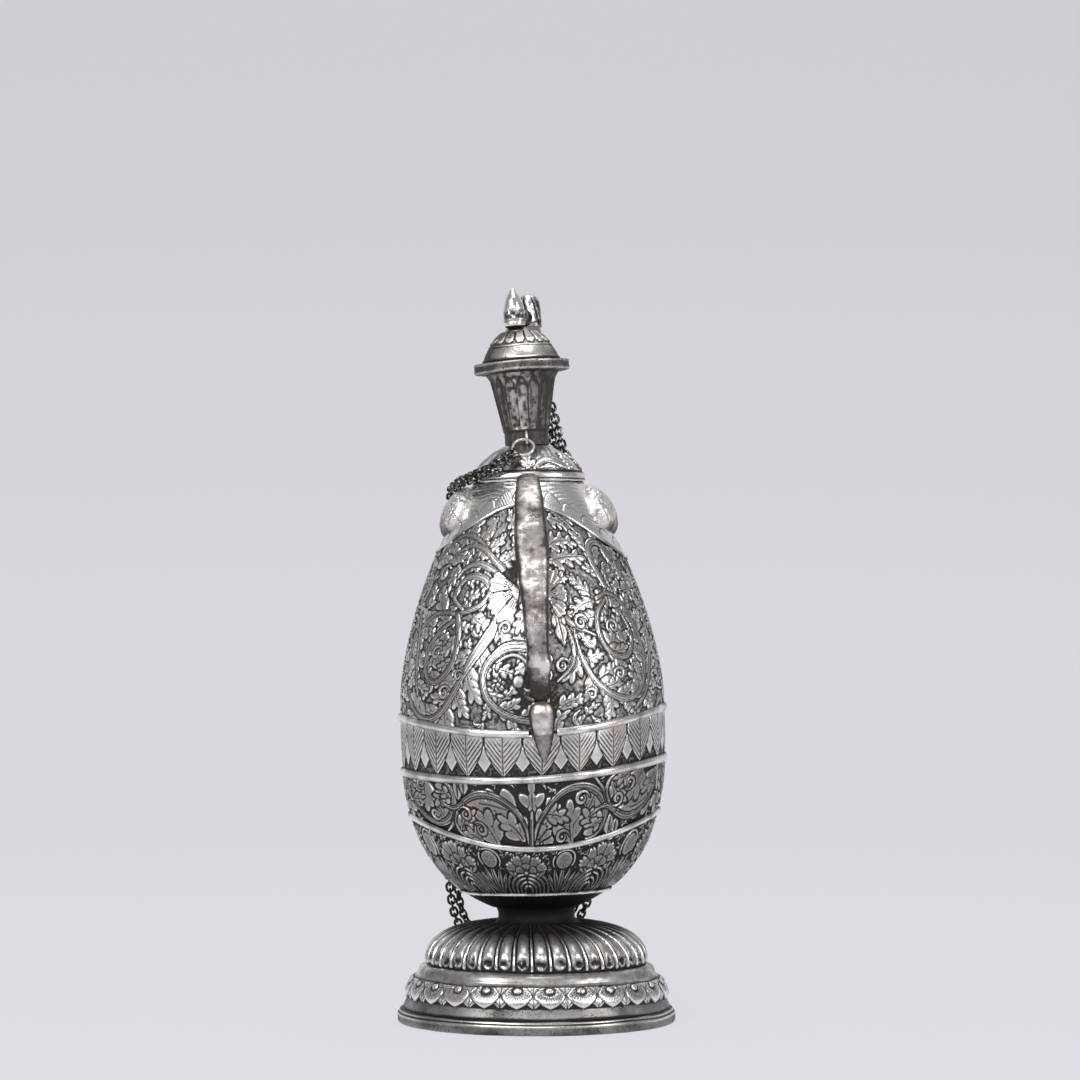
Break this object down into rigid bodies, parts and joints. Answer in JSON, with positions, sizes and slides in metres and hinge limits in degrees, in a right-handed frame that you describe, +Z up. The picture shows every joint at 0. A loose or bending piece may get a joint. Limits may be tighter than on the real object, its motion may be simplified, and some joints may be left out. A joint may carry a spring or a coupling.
{
  "type": "footed coffee pot",
  "caption": "Chased, footed egg-shaped metal coffee pot with cast handle, curved spout, fluted neck, lift-off lid with a bird finial, and a doubled carrying chain.",
  "frame": {"origin": "centre of the foot's resting face", "axes": "+Z up, handle towards -Y, spout towards +Y, bosses to -X and +X"},
  "size_m": [0.1112, 0.1778, 0.2929],
  "materials": {
    "silver": "silver-plated, chased, aged bright on the high spots and dark in the recesses",
    "dark_silver": "heavily oxidised silver plate",
    "cast_silver": "cast, pitted and toned silver plate",
    "chain_metal": "dark plated wire links"
  },
  "bodies": {
    "pot": {"base_plate": "silver", "foot_rim": "silver", "foot_skirt": "silver", "foot_dome": "silver", "stem": "dark_silver", "lower_bowl": "silver", "upper_shell": "silver", "bowl_ring": "silver", "belt_lower": "silver", "belt_middle": "silver", "belt_upper": "silver", "shoulder_border": "silver", "boss_left": "silver", "boss_right": "silver", "shoulder_collar": "silver", "neck": "silver", "rim_flange": "silver", "handle": "cast_silver", "handle_leaf": "cast_silver", "spout": "silver", "spout_collar": "silver", "spout_lip": "silver", "staple_near": "chain_metal", "ring_near": "chain_metal", "strand_left": "chain_metal", "strand_right": "chain_metal", "ring_far": "chain_metal", "staple_far": "chain_metal"},
    "lid": {"lid_dome": "silver", "lid_plug": "silver", "finial_base": "silver", "finial_bird": "silver", "finial_rivet": "silver"}
  },
  "joints": [
    {"name": "lid_lift", "type": "slide", "parent": "pot", "child": "lid", "axis": [-0.0715, 0, 0.9974], "range_m": [0, 0.03]}
  ]
}
